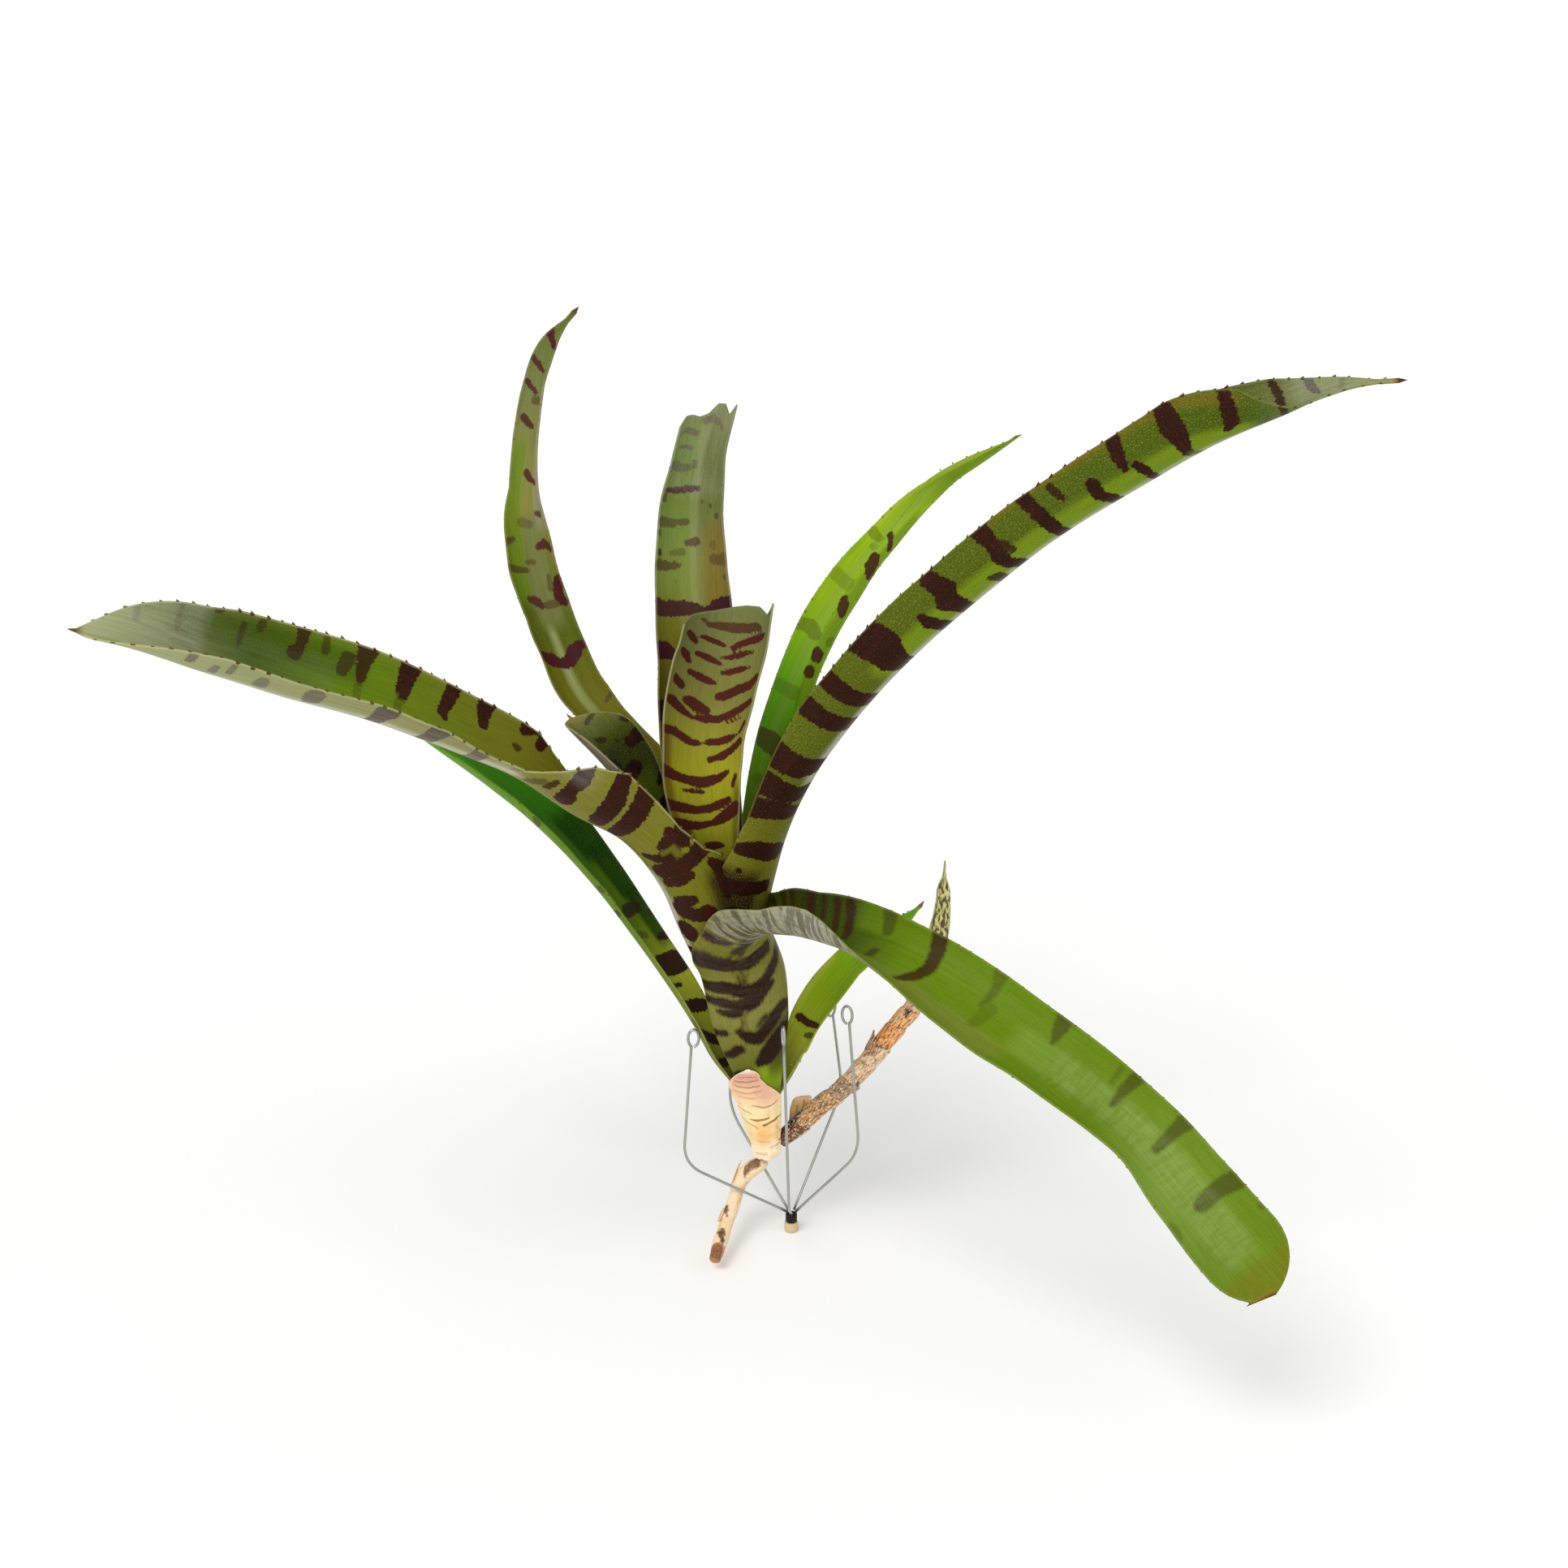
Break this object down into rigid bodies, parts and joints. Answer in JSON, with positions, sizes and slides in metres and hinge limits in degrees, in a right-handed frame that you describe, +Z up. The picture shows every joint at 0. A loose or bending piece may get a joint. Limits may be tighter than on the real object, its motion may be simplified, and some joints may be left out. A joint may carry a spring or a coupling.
{
  "type": "neoregelia bromeliad in a wire claw",
  "caption": "Tubular bromeliad with long, banded, finely toothed leaves, a runner with a young pup, and a wire claw on a small foot that holds it upright.",
  "frame": {"origin": "centre of the flat underside of the claw's foot", "axes": "+Z up, +X towards the viewer's right in the picture, +Y away from the viewer"},
  "size_m": [0.4406, 0.2415, 0.3548],
  "materials": {
    "leaf_left_long": "smooth, faintly glossy living leaf",
    "leaf_right_long": "smooth, faintly glossy living leaf",
    "leaf_front_drooping": "smooth, faintly glossy living leaf",
    "leaf_left_lower": "smooth, faintly glossy living leaf",
    "leaf_left_short": "smooth, faintly glossy living leaf",
    "leaf_back_left": "smooth, faintly glossy living leaf",
    "leaf_back_centre": "smooth, faintly glossy living leaf",
    "leaf_back_right": "smooth, faintly glossy living leaf",
    "leaf_centre_young": "smooth, faintly glossy living leaf",
    "leaf_right_lower": "smooth, faintly glossy living leaf",
    "stem": "pale fibrous stem",
    "dry_sheath": "dry, papery, matt",
    "dry_scale": "dry, papery, matt",
    "runner": "woody, ringed by dry scales",
    "old_runner_stub": "woody, pale, ringed by dry scales",
    "pup": "rolled young leaf, finely marbled",
    "holder_wire_left": "drawn wire",
    "holder_wire_right": "drawn wire",
    "holder_wire_front": "drawn wire",
    "holder_wire_back_right": "drawn wire",
    "holder_wire_back_left": "drawn wire",
    "holder_collar": "dark, crimped",
    "holder_foot": "turned, slightly waxed"
  },
  "bodies": {
    "root": {"leaf_left_long": "leaf_left_long", "leaf_right_long": "leaf_right_long", "leaf_front_drooping": "leaf_front_drooping", "leaf_left_lower": "leaf_left_lower", "leaf_left_short": "leaf_left_short", "leaf_back_left": "leaf_back_left", "leaf_back_centre": "leaf_back_centre", "leaf_back_right": "leaf_back_right", "leaf_centre_young": "leaf_centre_young", "leaf_right_lower": "leaf_right_lower", "stem": "stem", "dry_sheath": "dry_sheath", "dry_scale": "dry_scale", "runner": "runner", "old_runner_stub": "old_runner_stub", "pup": "pup", "holder_wire_left": "holder_wire_left", "holder_wire_right": "holder_wire_right", "holder_wire_front": "holder_wire_front", "holder_wire_back_right": "holder_wire_back_right", "holder_wire_back_left": "holder_wire_back_left", "holder_collar": "holder_collar", "holder_foot": "holder_foot"}
  },
  "joints": []
}
